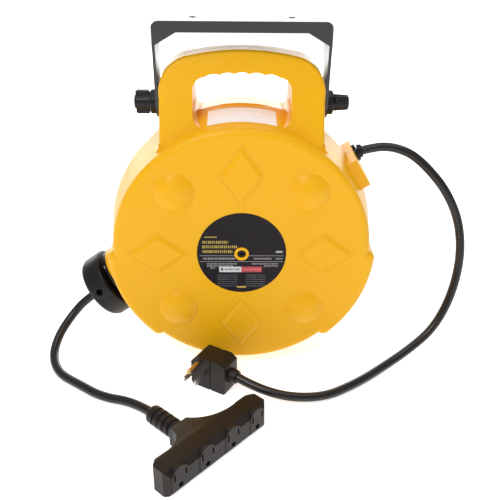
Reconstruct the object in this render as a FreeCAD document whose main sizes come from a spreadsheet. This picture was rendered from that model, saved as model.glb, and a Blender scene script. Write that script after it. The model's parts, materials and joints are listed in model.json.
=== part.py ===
import FreeCAD, Part
import math
import os
import Sketcher
from FreeCAD import Placement, Rotation, Vector

# Retractable extension cord reel.
# X runs to the right of the label face, Y runs away from it and Z is up.  The origin is on the
# floor, under the spool's axis and half-way between the two shells, which part at y = 0.

doc = FreeCAD.newDocument("cord_reel")
sheet = doc.addObject("Spreadsheet::Sheet", "sheet")

SIZES = {
    "hub_height": 133.5,
    "half_depth": 57,
    "face_radius": 125,
    "rim_radius": 133,
    "lobe_radius": 132,
    "lobe_sweep": 50,
    "lobe_corner": 8,
    "edge_round": 7,
    "wall": 2.8,
    "dome_radius": 19.5,
    "dome_height": 7.5,
    "dome_ring": 89.8,
    "diamond_ring": 81,
    "diamond_long": 30.5,
    "diamond_short": 22,
    "diamond_height": 2.4,
    "handle_half": 76.5,
    "handle_top": 186,
    "handle_thin": 13,
    "handle_foot": 46,
    "opening_half": 45.5,
    "opening_top": 166,
    "opening_ring": 126,
    "pivot_rise": 134.5,
    "bracket_half": 81,
    "bracket_rise": 78,
    "bracket_depth": 41,
    "bracket_steel": 2.8,
    "flange_drop": 10,
    "gusset": 19,
    "bracket_hole": 3.2,
    "bracket_spacing": 90,
    "arm_end": 14.5,
    "pivot_bolt": 4,
    "knob_flange": 11.5,
    "knob_length": 21,
    "label_radius": 43.5,
    "axle_radius": 6,
    "core_radius": 37,
    "spool_flange": 101,
    "winding_radius": 76,
    "screw_ring": 110.5,
    "cord_radius": 4.6,
    "cord_offset": 30,
    "collar_radius": 24,
    "stop_radius": 34.5,
    "stop_thick": 24.5,
    "block_reach": 139,
    "block_width": 30,
    "block_depth": 56,
    "block_angle": 32,
    "tap_length": 126,
    "tap_thick": 23,
    "tap_tall": 27,
    "outlet_pitch": 32,
    "plug_length": 40,
    "plug_thick": 24,
    "plug_tall": 36,
}
for row, (alias, number) in enumerate(SIZES.items(), start=1):
    sheet.set(f"A{row}", alias)
    sheet.set(f"B{row}", str(number))
    sheet.setAlias(f"B{row}", alias)
doc.recompute()


class Size:
    """A number together with the spreadsheet expression that gives it."""

    def __init__(self, number, text):
        self.number = float(number)
        self.text = text

    def join(self, other, sign):
        other = size(other)
        numbers = {
            "+": self.number + other.number,
            "-": self.number - other.number,
            "*": self.number * other.number,
            "/": self.number / other.number if other.number else 0.0,
        }
        return Size(numbers[sign], f"({self.text} {sign} {other.text})")

    def __add__(self, other):
        return self.join(other, "+")

    def __sub__(self, other):
        return self.join(other, "-")

    def __mul__(self, other):
        return self.join(other, "*")

    def __truediv__(self, other):
        return self.join(other, "/")

    def __neg__(self):
        return Size(-self.number, f"(0 - {self.text})")

    def __float__(self):
        return self.number


def size(value):
    return value if isinstance(value, Size) else Size(value, f"{float(value):.6g}")


class Sheet:
    """Reads each driving dimension by its alias."""

    def __getattr__(self, alias):
        return Size(sheet.get(alias), f"sheet.{alias}")


mm = Sheet()
X, Y, Z = Vector(1, 0, 0), Vector(0, 1, 0), Vector(0, 0, 1)
HUB = Vector(0, 0, float(mm.hub_height))


def bind(item, prop, value):
    """Gives a property its number and ties it to the spreadsheet."""
    value = size(value)
    setattr(item, prop, value.number)
    if "sheet." in value.text:
        item.setExpression(prop, value.text)


def place(item, origin, direction, along=Y):
    """Moves an item so that its own axis points along the given direction."""
    item.Placement = Placement(Vector(origin), Rotation(along, Vector(direction)))
    return item


# ---- builders -------------------------------------------------------------------------------

def cylinder(name, radius, length, start, direction):
    item = doc.addObject("Part::Cylinder", name)
    bind(item, "Radius", radius)
    bind(item, "Height", length)
    return place(item, start, direction, Z)


def sphere(name, radius, centre):
    item = doc.addObject("Part::Sphere", name)
    bind(item, "Radius", radius)
    item.Placement = Placement(Vector(centre), Rotation())
    return item


def box(name, sizes, centre, turn=None):
    """A box about its centre, turned by a Rotation."""
    item = doc.addObject("Part::Box", name)
    for prop, value in zip(("Length", "Width", "Height"), sizes):
        bind(item, prop, value)
    half = Vector(*[float(size(value)) / 2 for value in sizes])
    turn = turn or Rotation()
    item.Placement = Placement(Vector(centre) - turn.multVec(half), turn)
    return item


def several(kind, prop, name, items):
    item = doc.addObject(kind, name)
    setattr(item, prop, list(items))
    return item


def fuse(name, *items):
    return several("Part::MultiFuse", "Shapes", name, items)


def common(name, *items):
    return several("Part::MultiCommon", "Shapes", name, items)


def group(name, *items):
    return several("Part::Compound", "Links", name, items)


def cut(name, base, *tools):
    item = doc.addObject("Part::Cut", name)
    item.Base = base
    item.Tool = tools[0] if len(tools) == 1 else fuse(name + "_tool", *tools)
    return item


def feature(name, shape, origin=Vector(0, 0, 0), turn=None):
    item = doc.addObject("Part::Feature", name)
    item.Shape = shape
    item.Placement = Placement(Vector(origin), turn or Rotation())
    return item


def sketched(name, plane, outlines, offset=0):
    """A body with one sketch on an origin plane; each corner is tied to the spreadsheet."""
    body = doc.addObject("PartDesign::Body", name)
    sketch = body.newObject("Sketcher::SketchObject", name + "_sketch")
    base = [part for part in body.Origin.OriginFeatures if part.Role == plane][0]
    sketch.AttachmentSupport = (base, "")
    sketch.MapMode = "FlatFace"
    sketch.AttachmentOffset = Placement(Vector(0, 0, float(size(offset))), Rotation())
    for outline in outlines:
        add_outline(sketch, outline)
    return body, sketch


def add_outline(sketch, corners):
    corners = [(size(u), size(v)) for u, v in corners]
    points = [Vector(float(u), float(v), 0) for u, v in corners]
    first = sketch.GeometryCount
    count = len(points)
    for index in range(count):
        sketch.addGeometry(Part.LineSegment(points[index], points[(index + 1) % count]))
    for index in range(count):
        following = first + (index + 1) % count
        sketch.addConstraint(Sketcher.Constraint("Coincident", first + index, 2, following, 1))
    for index, (u, v) in enumerate(corners):
        for kind, value, axis in (("DistanceX", u, -2), ("DistanceY", v, -1)):
            if value.number == 0:
                sketch.addConstraint(Sketcher.Constraint("PointOnObject", first + index, 1, axis))
                continue
            rule = sketch.addConstraint(
                Sketcher.Constraint(kind, -1, 1, first + index, 1, value.number)
            )
            if "sheet." in value.text:
                sketch.setExpression(f"Constraints[{rule}]", value.text)


def turned(name, profile, origin=HUB, direction=Y):
    """Turns a profile of (radius, distance along the axis) corners about the axis."""
    body, sketch = sketched(name, "XY_Plane", [profile])
    solid = body.newObject("PartDesign::Revolution", name + "_turn")
    solid.Profile = sketch
    solid.ReferenceAxis = (sketch, ["V_Axis"])
    solid.Angle = 360
    place(body, origin, direction)
    return body


def padded(name, plane, outlines, length, offset=0, taper=0):
    """Pads outlines on an origin plane along that plane's normal."""
    body, sketch = sketched(name, plane, outlines, offset)
    pad = body.newObject("PartDesign::Pad", name + "_pad")
    pad.Profile = sketch
    bind(pad, "Length", length)
    pad.TaperAngle = taper
    return body


def rounded(body, radius, wanted):
    """Rounds the edges of a body that the test picks."""
    doc.recompute()
    last = body.Tip
    names = [f"Edge{i}" for i, edge in enumerate(last.Shape.Edges, start=1) if wanted(edge)]
    round_edge = body.newObject("PartDesign::Fillet", body.Name + "_round")
    round_edge.Base = (last, names)
    bind(round_edge, "Radius", radius)
    return body


def eased(name, base, radius, wanted):
    """Rounds the edges of a boolean result that the test picks."""
    doc.recompute()
    item = doc.addObject("Part::Fillet", name)
    item.Base = base
    number = float(size(radius))
    item.Edges = [
        (i, number, number) for i, edge in enumerate(base.Shape.Edges, start=1) if wanted(edge)
    ]
    return item


def tube(radius, inner, low, high):
    """Profile of a plain ring."""
    return [(inner, low), (radius, low), (radius, high), (inner, high)]


def rod(radius, low, high):
    """Profile of a plain shaft."""
    return [(0, low), (radius, low), (radius, high), (0, high)]


def polar(radius, degrees, y=0.0):
    """A point at a radius and angle around the hub, angles counted from +X towards +Z."""
    angle = math.radians(degrees)
    reach = float(size(radius))
    return HUB + Vector(reach * math.cos(angle), float(y), reach * math.sin(angle))


parts = {}


def keep(name, item):
    """Lists an item as one of the model's sub-parts."""
    item.Label = name
    parts[name] = item
    return item


# ---- the line that the output cord takes out of the housing -----------------------------------

EXIT_ANGLE = math.radians(216)
OUT = Vector(math.cos(EXIT_ANGLE), 0, math.sin(EXIT_ANGLE))
ACROSS = Vector(-math.sin(EXIT_ANGLE), 0, math.cos(EXIT_ANGLE))
FOOT = HUB - ACROSS * float(mm.cord_offset)


def on_exit(distance, across=0.0, y=0.0):
    """A point on the cord's exit line, counted from the foot of the hub's perpendicular."""
    return FOOT + OUT * distance + ACROSS * across + Y * y


BOSS_END = 134.0
COLLAR_END = 141.5
STOP_START = 142.0

# the lead's block and the line of its grommet
BLOCK_TURN = Rotation(Y, -float(mm.block_angle))
BLOCK_OUT = BLOCK_TURN.multVec(X)
GROMMET_Y = 17.0
GROMMET_RISE = 4.0


def on_block(reach, y, rise=0.0):
    """A point at a reach from the hub along the lead block's own direction."""
    return HUB + BLOCK_OUT * reach + BLOCK_TURN.multVec(Z) * rise + Y * y


GROMMET = on_block(float(mm.block_reach), GROMMET_Y, GROMMET_RISE)
LEAD_START = GROMMET + BLOCK_OUT * 3
LEAD_OUT = Rotation(Y, -16).multVec(X)
SCREW_ANGLES = (18, 62, 118, 162, 248, 292)
PIVOT = HUB + Z * float(mm.pivot_rise)


# ---- housing ----------------------------------------------------------------------------------

def flare(side, radius, ring):
    """A fillet from a ring around the hub up to a leg's side, outwards when radius is positive."""
    across = side + radius
    reach = ring + abs(radius)
    rise = math.sqrt(reach**2 - across**2)
    centre = Vector(across, 0, rise)
    down = (Vector(0, 0, 0) - centre).normalize()
    inward = Vector(-radius, 0, 0).normalize()
    middle = centre + (down + inward).normalize() * abs(radius)
    return centre + down * abs(radius), middle, Vector(side, 0, rise)


def handle_outline():
    """The handle's outer outline in the XZ plane, its foot inside the drum."""
    wide, top = float(mm.handle_half), float(mm.handle_top)
    foot = Vector(wide, 0, 60)
    side = Vector(wide, 0, top - 42)
    corner = Vector(wide - 7.5, 0, top - 15.5)
    shoulder = Vector(wide - 27, 0, top - 5.2)

    def mirror(point):
        return Vector(-point.x, 0, point.z)

    edges = [
        Part.LineSegment(foot, side),
        Part.Arc(side, corner, shoulder),
        Part.Arc(shoulder, Vector(0, 0, top), mirror(shoulder)),
        Part.Arc(mirror(shoulder), mirror(corner), mirror(side)),
        Part.LineSegment(mirror(side), mirror(foot)),
        Part.LineSegment(mirror(foot), foot),
    ]
    return Part.Wire([edge.toShape() for edge in edges])


def opening_outline():
    """The hand opening: round corners and five finger scallops along its top."""
    wide = float(mm.opening_half)
    top = float(mm.opening_top)
    foot, bend, root = flare(wide, -10, mm.opening_ring.number)
    corner, scallops, depth = 11.0, 5, 1.6
    start = wide - corner
    step = 2 * start / scallops
    drop = [2.6, 0.8, 0, 0, 0.8, 2.6]
    tops = [Vector(start - i * step, 0, top - drop[i]) for i in range(scallops + 1)]
    mirrored = [Vector(-point.x, 0, point.z) for point in (root, bend, foot)]
    edges = [
        Part.Arc(mirrored[2], Vector(0, 0, float(mm.opening_ring)), foot),
        Part.Arc(foot, bend, root),
        Part.LineSegment(root, Vector(wide, 0, top - 14)),
        Part.Arc(Vector(wide, 0, top - 14), Vector(wide - 3.6, 0, top - 5.8), tops[0]),
    ]
    for here, there in zip(tops, tops[1:]):
        middle = (here + there) / 2 + Vector(0, 0, depth)
        edges.append(Part.Arc(here, middle, there))
    edges += [
        Part.Arc(tops[-1], Vector(-wide + 3.6, 0, top - 5.8), Vector(-wide, 0, top - 14)),
        Part.LineSegment(Vector(-wide, 0, top - 14), mirrored[0]),
        Part.Arc(*mirrored),
    ]
    return Part.Wire([edge.toShape() for edge in edges])


def handle_wedge(name, side, inset):
    """The handle's side profile: thin at the top and as deep as the drum at its foot."""
    thin = (mm.handle_thin - inset) * side
    foot = (mm.handle_foot - inset) * side
    width = mm.handle_half * 2 + 20
    corners = [
        (0, 50),
        (foot, 50),
        (foot, 106),
        (thin, mm.handle_top - inset),
        (0, mm.handle_top - inset),
    ]
    body = padded(name, "YZ_Plane", [corners], width, -(mm.handle_half + 10))
    body.Placement = Placement(HUB, Rotation())
    return body


def handle(name, side):
    depth = float(mm.half_depth) * side
    outline = feature(name + "_outline", Part.Face(handle_outline()).extrude(Y * depth), HUB)
    blank = common(name + "_blank", outline, handle_wedge(name + "_wedge", side, 0))
    level = float(mm.hub_height) + 100

    def outer(edge):
        middle = edge.CenterOfMass
        return abs(middle.y) > 8 and middle.z > level and edge.BoundBox.ZMax > level + 20

    soft = eased(name + "_soft", blank, 4.5, outer)
    hole = feature(name + "_hole", Part.Face(opening_outline()).extrude(Y * depth), HUB)
    return cut(name, soft, hole)


def leg_roots(name, side):
    """Fillets where the outer sides of the handle's legs run into the drum."""
    foot, bend, root = flare(float(mm.handle_half), 9, 128)
    inner = Vector(float(mm.handle_half) - 6, 0, 96)
    deep = Y * (float(mm.handle_foot) * side)
    pieces = []
    for tag, way in (("right", 1), ("left", -1)):
        a, b, c, d = [Vector(way * point.x, 0, point.z) for point in (foot, bend, root, inner)]
        edges = [Part.Arc(a, b, c), Part.LineSegment(c, d), Part.LineSegment(d, a)]
        wire = Part.Wire([edge.toShape() for edge in edges])
        pieces.append(feature(f"{name}_{tag}", Part.Face(wire).extrude(deep), HUB))
    return pieces


def handle_hollow(name, side):
    """What is cored out of each handle half from the parting face."""
    inner = float(mm.wall) + 0.2
    post = float(mm.handle_half - mm.opening_half) - 2 * inner
    centre = float(mm.opening_half) + inner + post / 2
    depth = float(mm.half_depth)
    pieces = [
        box(f"{name}_{tag}", (post, depth, 66), HUB + Vector(x, side * depth / 2, 127))
        for tag, x in (("right", centre), ("left", -centre))
    ]
    pieces.append(box(name + "_bar", (96, depth, 9), HUB + Vector(0, side * depth / 2, 175.5)))
    blank = fuse(name + "_blank", *pieces)
    return common(name, blank, handle_wedge(name + "_wedge", side, inner))


def lobe(name, middle, radius, deep, half, corner):
    """A lower side lobe: a disc's sector with rounded corners, from the parting face."""
    ahead = polar(1, middle) - HUB
    tip = polar(corner / math.sin(math.radians(half)), middle)
    lean = math.degrees(math.asin(corner / (radius - corner)))
    starts, corners = [], []
    for side in (-1, 1):
        outward = polar(1, middle + side * (half + 90)) - HUB
        centre = polar(radius - corner, middle + side * (half - lean))
        along = (centre - HUB).normalize()
        between = (outward + along).normalize()
        starts.append(tip + outward * corner)
        corners.append([centre + way * corner for way in (outward, between, along)])
    first, second = corners
    edges = [
        Part.LineSegment(starts[0], first[0]),
        Part.Arc(*first),
        Part.Arc(first[2], polar(radius, middle), second[2]),
        Part.Arc(*reversed(second)),
        Part.LineSegment(second[0], starts[1]),
        Part.Arc(starts[1], tip - ahead * corner, starts[0]),
    ]
    wire = Part.Wire([edge.toShape() for edge in edges])
    return feature(name, Part.Face(wire).extrude(Y * deep))


def lobes(name, inset, deep):
    """Both lobes, or the hollows inside them when inset by a wall."""
    radius = float(mm.lobe_radius) - inset
    half = float(mm.lobe_sweep) / 2 - 0.7 * inset
    corner = float(mm.lobe_corner) - inset
    return [
        lobe(f"{name}_{tag}", middle, radius, float(deep), half, corner)
        for tag, middle in (("right", -25.0), ("left", -155.0))
    ]


def drum(name, side):
    """One half of the round body with its two lower lobes, edges rounded."""
    deep = mm.half_depth * side
    profile = [(0, 0), (mm.rim_radius, 0), (mm.face_radius, deep), (0, deep)]
    body = turned(name + "_drum", profile)

    def on_face(edge):
        limits = edge.BoundBox
        return max(abs(limits.YMin - float(deep)), abs(limits.YMax - float(deep))) < 0.01

    rounded(body, mm.edge_round, on_face)
    sectors = [
        eased(sector.Name + "_soft", sector, mm.edge_round, on_face)
        for sector in lobes(name + "_lobe", 0, deep)
    ]
    return [body] + sectors


def shell(name, side):
    deep = float(mm.half_depth)
    outside = drum(name, side)
    outside.append(handle(name + "_handle", side))
    outside += leg_roots(name + "_root", side)
    quarter = float(mm.block_depth) / 4
    block = (30, mm.block_depth / 2, mm.block_width)
    block_centre = on_block(float(mm.block_reach) - 15, side * quarter)
    outside.append(box(name + "_block", block, block_centre, BLOCK_TURN))
    pad_deep = 18 if side < 0 else 45
    outside.append(box(name + "_foot", (68, pad_deep, 12), Vector(0, side * pad_deep / 2, 6)))
    boss = cylinder(name + "_boss", 31, BOSS_END - 96, on_exit(96), OUT)
    half = box(name + "_half", (420, deep + 20, 420), HUB + Y * (side * (deep + 20) / 2))
    outside.append(common(name + "_boss_half", boss, half))
    outside += domes(name, side)
    outside += [diamond(f"{name}_diamond_{i}", side, 90 * i) for i in range(4)]
    solid = fuse(name + "_outside", *outside)

    inner = (mm.half_depth - mm.wall) * side
    rim, face = mm.rim_radius - mm.wall, mm.face_radius - mm.wall
    hollows = [turned(name + "_cavity", [(0, 0), (rim, 0), (face, inner), (0, inner)])]
    hollows += lobes(name + "_hollow", float(mm.wall), inner)
    hollows.append(handle_hollow(name + "_core", side))
    cup = cut(name + "_cup", solid, *hollows)

    ribs = [
        cylinder(f"{name}_post_{i}", 6.2, deep - 1.5, polar(mm.screw_ring, angle), Y * side)
        for i, angle in enumerate(SCREW_ANGLES)
    ]
    ribs.append(cylinder(name + "_hub_boss", 11, 10.5, HUB + Y * side * (deep - 11), Y * side))
    ribs.append(cylinder(name + "_ring", 7, 2.2, HUB + Y * side * (deep - 1), Y * side))
    webbed = fuse(name + "_webbed", cup, *ribs)

    seat = mm.axle_radius + 0.02
    bores = [
        cylinder(name + "_axle_seat", seat, 8, HUB + Y * side * (deep - 14), Y * side),
        cylinder(name + "_axle_hole", 2.7, 30, HUB + Y * side * (deep - 20), Y * side),
        cylinder(name + "_axle_recess", 4.4, 8, HUB + Y * side * (deep - 4), Y * side),
        cylinder(name + "_pivot_hole", mm.pivot_bolt + 0.05, 200, PIVOT - X * 100, X),
        cylinder(name + "_guide_hole", 24.2, 60, on_exit(86), OUT),
    ]
    for i, angle in enumerate(SCREW_ANGLES):
        ring = mm.screw_ring
        if side < 0:
            bores.append(cylinder(f"{name}_pilot_{i}", 1.8, 18, polar(ring, angle, -18), Y))
        else:
            bores.append(cylinder(f"{name}_pass_{i}", 2.1, 70, polar(ring, angle, -5), Y))
            bores.append(cylinder(f"{name}_sink_{i}", 4.4, 20, polar(ring, angle, 46), Y))
    if side > 0:
        bores.append(cylinder(name + "_lead_hole", 6.5, 60, GROMMET - BLOCK_OUT * 40, BLOCK_OUT))
        bores.append(box(name + "_block_core", (40, 24, 24), on_block(116, 16), BLOCK_TURN))
    bores += collar_screw_holes(name)
    return keep(name, cut(name, webbed, *bores))


def domes(name, side):
    """Four shallow round domes on the face, between the diamonds."""
    cap, base = float(mm.dome_height), float(mm.dome_radius)
    bend = (base * base + cap * cap) / (2 * cap)
    caps = []
    for i in range(4):
        centre = polar(mm.dome_ring, 45 + 90 * i, side * (float(mm.half_depth) + cap - bend))
        ball = sphere(f"{name}_ball_{i}", bend, centre)
        keeper = box(f"{name}_dome_box_{i}", (60, 24, 60), centre + Y * side * (bend - cap + 4))
        caps.append(common(f"{name}_dome_{i}", ball, keeper))
    return caps


def diamond(name, side, degrees):
    """A raised flat-topped lozenge on the face, its long way towards the hub."""
    ring, long, short = mm.diamond_ring, mm.diamond_long, mm.diamond_short
    corners = [(ring - long, 0), (ring, -short), (ring + long, 0), (ring, short)]
    body = padded(name, "XZ_Plane", [corners], mm.diamond_height + 1, mm.half_depth - 1, -55)
    turn = Rotation(Y, degrees)
    flip = Rotation(Z, 180) if side > 0 else Rotation()
    body.Placement = Placement(HUB, turn * flip)
    return body


COLLAR_SCREWS = [
    (27.5 * math.cos(math.radians(angle)), 27.5 * math.sin(math.radians(angle)))
    for angle in (35, 145, 215, 325)
]


def collar_screw_holes(name):
    return [
        cylinder(f"{name}_collar_pilot_{i}", 1.3, 14, on_exit(BOSS_END - 12, u, v), OUT)
        for i, (u, v) in enumerate(COLLAR_SCREWS)
    ]


def labels():
    deep = mm.half_depth
    disc = tube(mm.label_radius, 7.3, -deep, -deep - 0.4)
    keep("label_disc", turned("label_disc", disc))
    slope = float(mm.rim_radius - mm.face_radius) / float(deep)
    near, far = 10.0, 40.0
    low, high = [float(mm.rim_radius) - slope * y for y in (near, far)]
    profile = [(low, -near), (low + 0.3, -near), (high + 0.3, -far), (high, -far)]
    ring = turned("sticker_ring", profile)
    patch = box("sticker_patch", (64, 60, 60), HUB + Vector(0, -25, 130))
    keep("top_sticker", common("top_sticker", ring, patch))


def housing_fasteners():
    deep = float(mm.half_depth)
    end = deep - 6.5
    bore = end - 16
    axle = [(0, -bore), (2.5, -bore), (2.5, -end), (mm.axle_radius, -end), (mm.axle_radius, end),
            (2.5, end), (2.5, bore), (0, bore)]
    keep("axle", turned("axle", axle))
    screws = []
    for tag, side in (("front", -1), ("rear", 1)):
        outline = [(0, end - 12), (2.45, end - 12), (2.45, deep - 4), (4.2, deep - 4),
                   (4.2, deep - 0.5), (2.2, deep - 0.5), (2.2, deep - 2.5), (0, deep - 2.5)]
        screws.append(turned(f"axle_screw_{tag}", [(r, y * side) for r, y in outline]))
    keep("axle_screws", group("axle_screws", *screws))
    profile = [(0, -14), (1.75, -14), (1.75, 46), (4.1, 46), (4.1, 48.6), (1.4, 48.6), (1.4, 47.4),
               (0, 47.4)]
    bodies = [
        turned(f"housing_screw_{i}", profile, polar(mm.screw_ring, angle))
        for i, angle in enumerate(SCREW_ANGLES)
    ]
    keep("housing_screws", group("housing_screws", *bodies))


# ---- cord guide ---------------------------------------------------------------------------------

ROLLER = 6.0
ROLLER_GAP = 0.5
ROLLER_HALF = 12.0
PIN_HALF = 20.5
ROLLERS = {
    "roller_upper": (127.0, -1, 0, Y),
    "roller_lower": (127.0, 1, 0, Y),
    "roller_front": (113.5, 0, -1, ACROSS),
    "roller_rear": (113.5, 0, 1, ACROSS),
}


def guide():
    """The collar that leads the cord out between four rollers."""
    barrel, top, throat = mm.collar_radius, COLLAR_END, 6.2
    mouth = [(22, 106), (22, BOSS_END + 2), (throat + 0.8, BOSS_END + 2), (throat, BOSS_END + 4.5),
             (throat + 1.4, top), (barrel - 1.5, top), (barrel, top - 1.5), (barrel, BOSS_END + 3),
             (31, BOSS_END + 3), (31, BOSS_END), (24.1, BOSS_END), (24.1, 106)]
    collar = turned("collar_blank", mouth, FOOT, OUT)
    holes = collar_screw_holes("collar")
    holes += [
        cylinder(f"collar_sink_{i}", 1.5, 12, on_exit(BOSS_END - 1, u, v), OUT)
        for i, (u, v) in enumerate(COLLAR_SCREWS)
    ]
    pins = []
    reach = ROLLER + ROLLER_GAP + float(mm.cord_radius)
    for name, (along, across, y, axis) in ROLLERS.items():
        centre = on_exit(along, across * reach, y * reach)
        end = centre - axis * PIN_HALF
        pins.append(cylinder(name + "_pin", 2, PIN_HALF * 2, end, axis))
        holes.append(cylinder(name + "_seat", 2, PIN_HALF * 2, end, axis))
        roller = [(2.05, -ROLLER_HALF), (ROLLER, -ROLLER_HALF), (ROLLER, ROLLER_HALF),
                  (2.05, ROLLER_HALF)]
        keep(name, turned(name, roller, centre, axis))
    keep("guide_collar", cut("guide_collar", collar, *holes))
    keep("guide_pins", group("guide_pins", *pins))
    profile = [(0, -10), (1.25, -10), (1.25, 3), (2.6, 3), (2.6, 4.6), (0, 4.6)]
    screws = [
        turned(f"guide_screw_{i}", profile, on_exit(BOSS_END, u, v), OUT)
        for i, (u, v) in enumerate(COLLAR_SCREWS)
    ]
    keep("guide_screws", group("guide_screws", *screws))


# ---- spool --------------------------------------------------------------------------------------

FRONT_FLANGE = -34.0
REAR_FLANGE = 20.0
FLANGE_THICK = 2.4
RING_RADII = (14, 20.5, 27)
NOTCHES = 12


def spool():
    core, bush = mm.core_radius, 9.0
    low, high = FRONT_FLANGE + FLANGE_THICK, REAR_FLANGE
    hub = [(bush, low), (core, low), (core, high), (core - 3, high), (core - 3, low + 3),
           (bush + 4, low + 3), (bush + 4, high), (bush, high)]
    keep("spool_hub", turned("spool_hub", hub))
    wide = mm.spool_flange
    front = [(bush, FRONT_FLANGE), (wide, FRONT_FLANGE), (wide, FRONT_FLANGE + FLANGE_THICK),
             (bush, FRONT_FLANGE + FLANGE_THICK)]
    keep("spool_flange_front", turned("spool_flange_front", front))
    rear = [(bush, REAR_FLANGE), (wide, REAR_FLANGE), (wide, REAR_FLANGE + FLANGE_THICK),
            (bush, REAR_FLANGE + FLANGE_THICK)]
    keep("spool_flange_rear", turned("spool_flange_rear", rear))
    bushes = [turned(f"bush_{i}", tube(bush, mm.axle_radius + 0.05, y, y + 10))
              for i, y in enumerate((FRONT_FLANGE, REAR_FLANGE - 8))]
    keep("spool_bushes", group("spool_bushes", *bushes))
    keep("cord_winding", turned("cord_winding", tube(mm.winding_radius, core, low, high)))
    disc = FRONT_FLANGE - 10
    keep("slip_ring_disc", turned("slip_ring_disc", tube(31, bush + 0.5, disc, FRONT_FLANGE)))
    rings = [
        turned(f"slip_ring_{i}", tube(radius + 2, radius - 2, disc - 1, disc))
        for i, radius in enumerate(RING_RADII)
    ]
    keep("slip_rings", group("slip_rings", *rings))


def spring_motor():
    """The flat spiral spring that winds the cord back, in its barrel behind the rear flange."""
    back = REAR_FLANGE + FLANGE_THICK
    wide, deep = 58.0, 22.0
    barrel = [(13, back), (wide, back), (wide, back + deep), (wide - 2, back + deep),
              (wide - 2, back + 2), (13, back + 2)]
    keep("spring_barrel", turned("spring_barrel", barrel))
    keep("spring_cover", turned("spring_cover", tube(wide, 13, back + deep, back + deep + 1.6)))
    arbor = tube(11, mm.axle_radius, back + 1, back + deep + 1)
    keep("spring_arbor", turned("spring_arbor", arbor))
    strip = spiral(12.5, 4.4, 9, 0.9, deep - 5)
    keep("power_spring", feature("power_spring", strip, HUB + Y * (back + 3.5)))
    ring = turned("ratchet_blank", tube(70, wide + 0.1, back, back + 6))
    notches = []
    for i in range(NOTCHES):
        angle = 130 + 360 / NOTCHES * i
        spot = polar(70, angle, back + 3)
        notches.append(box(f"ratchet_notch_{i}", (9, 10, 9), spot, Rotation(Y, -angle)))
    keep("ratchet_ring", cut("ratchet_ring", ring, *notches))


def spiral(start, pitch, turns, thick, width):
    """A strip wound in half circles whose radius grows by half a pitch each time."""
    def half_turns(offset):
        edges = []
        x = start + offset
        for step in range(2 * turns):
            side = 1 if step % 2 == 0 else -1
            radius = start + offset + pitch / 4 + step * pitch / 2
            centre = x - side * radius
            a = Vector(x, 0, 0)
            b = Vector(centre, 0, side * radius)
            c = Vector(centre - side * radius, 0, 0)
            edges.append(Part.Arc(a, b, c).toShape())
            x = c.x
        return edges, Vector(start + offset, 0, 0), Vector(x, 0, 0)

    inner, inner_start, inner_end = half_turns(0)
    outer, outer_start, outer_end = half_turns(thick)
    ends = [
        Part.LineSegment(inner_start, outer_start).toShape(),
        Part.LineSegment(inner_end, outer_end).toShape(),
    ]
    wire = Part.Wire(Part.__sortEdges__(inner + outer + ends))
    return Part.Face(wire).extrude(Y * width)


PAWL_PIVOT = polar(86, 122, REAR_FLANGE + FLANGE_THICK + 0.6)


def pawl():
    """The catch on the rear shell, drawn clear of a notch in the ratchet ring."""
    back = REAR_FLANGE + FLANGE_THICK + 0.6
    pin = cylinder("pawl_pin", 2.5, float(mm.half_depth - mm.wall) - back, PAWL_PIVOT, Y)
    keep("pawl_pin", pin)
    eye = turned("pawl_eye", tube(6, 2.56, 0, 5), PAWL_PIVOT)
    tip = polar(73, 130, back)
    reach = tip - PAWL_PIVOT
    middle = PAWL_PIVOT + reach * 0.62 + Y * 2.5
    angle = math.degrees(math.atan2(reach.z, reach.x))
    arm = box("pawl_arm", (reach.Length * 0.75, 5, 5), middle, Rotation(Y, -angle))
    keep("pawl", fuse("pawl", eye, arm))


def brushes():
    """The fixed contact block that feeds the lead's three wires to the slip rings."""
    rings = FRONT_FLANGE - 11
    low = rings - 1.5
    thick = float(mm.half_depth - mm.wall) + low
    centre = on_block(26, low - thick / 2)
    body = box("brush_body", (26, thick, 10), centre, BLOCK_TURN)
    spots = [on_block(radius, rings - 6.1) for radius in RING_RADII]
    holes = [cylinder(f"brush_hole_{i}", 1.7, 20, spot, Y) for i, spot in enumerate(spots)]
    keep("brush_holder", cut("brush_holder", body, *holes))
    sticks = [cylinder(f"brush_{i}", 1.65, 6, spot, Y) for i, spot in enumerate(spots)]
    keep("brushes", group("brushes", *sticks))


# ---- bracket and knobs --------------------------------------------------------------------------

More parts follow.
